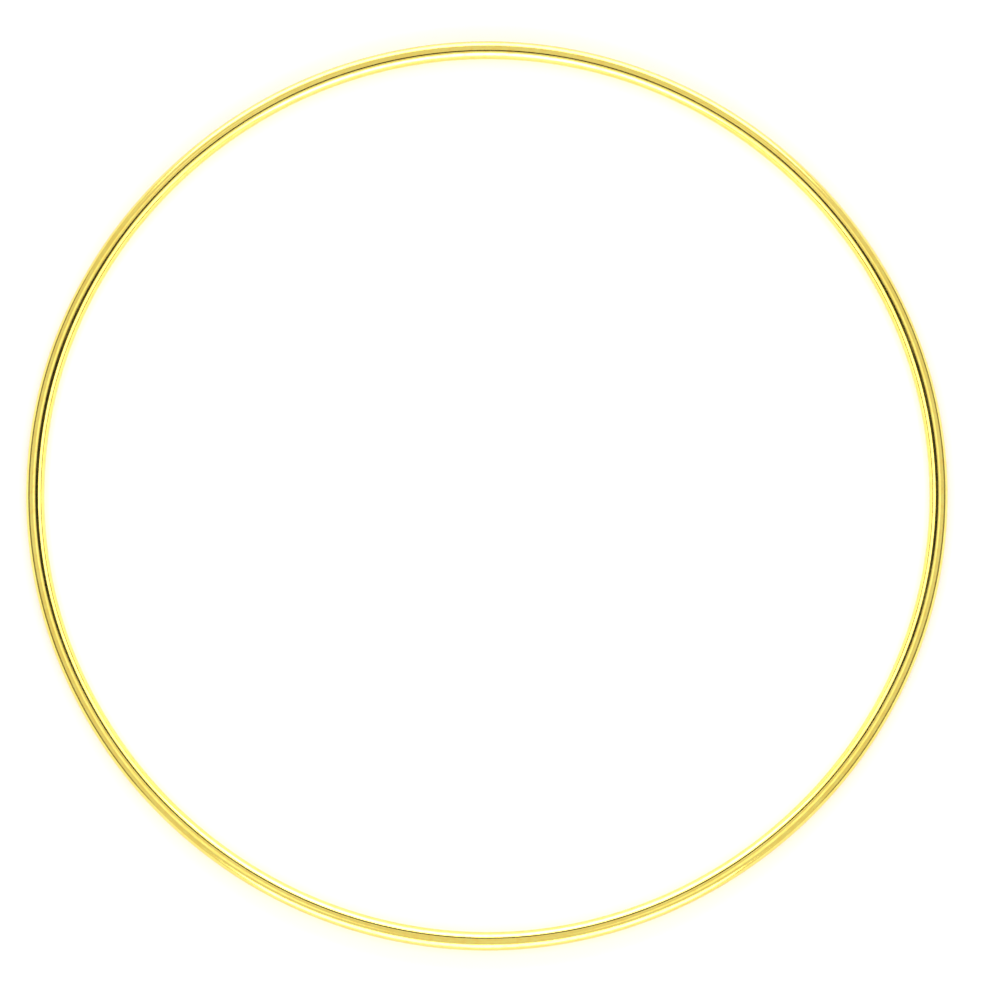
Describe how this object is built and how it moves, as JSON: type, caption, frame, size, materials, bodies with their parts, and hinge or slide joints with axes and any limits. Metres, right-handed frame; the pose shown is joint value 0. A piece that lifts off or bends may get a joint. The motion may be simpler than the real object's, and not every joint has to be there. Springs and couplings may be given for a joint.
{
  "type": "wreath frame",
  "caption": "Round hoop of shiny gold-plated steel wire, butt-welded into a ring, to bind flowers and greenery on.",
  "frame": {"origin": "centre of the ring, on the plane that the hoop rests on when it lies flat", "axes": "+Z along the ring's axis, up from the table; +Y towards the top of the hoop as it hangs; the weld is at +X"},
  "size_m": [0.15, 0.15, 0.003],
  "materials": {
    "plated_wire": "bright gold-coloured plate on drawn steel wire, polished and lacquered",
    "plated_weld": "the same plate over ground weld metal, slightly duller"
  },
  "bodies": {
    "root": {"hoop_wire": "plated_wire", "butt_weld": "plated_weld"}
  },
  "joints": []
}
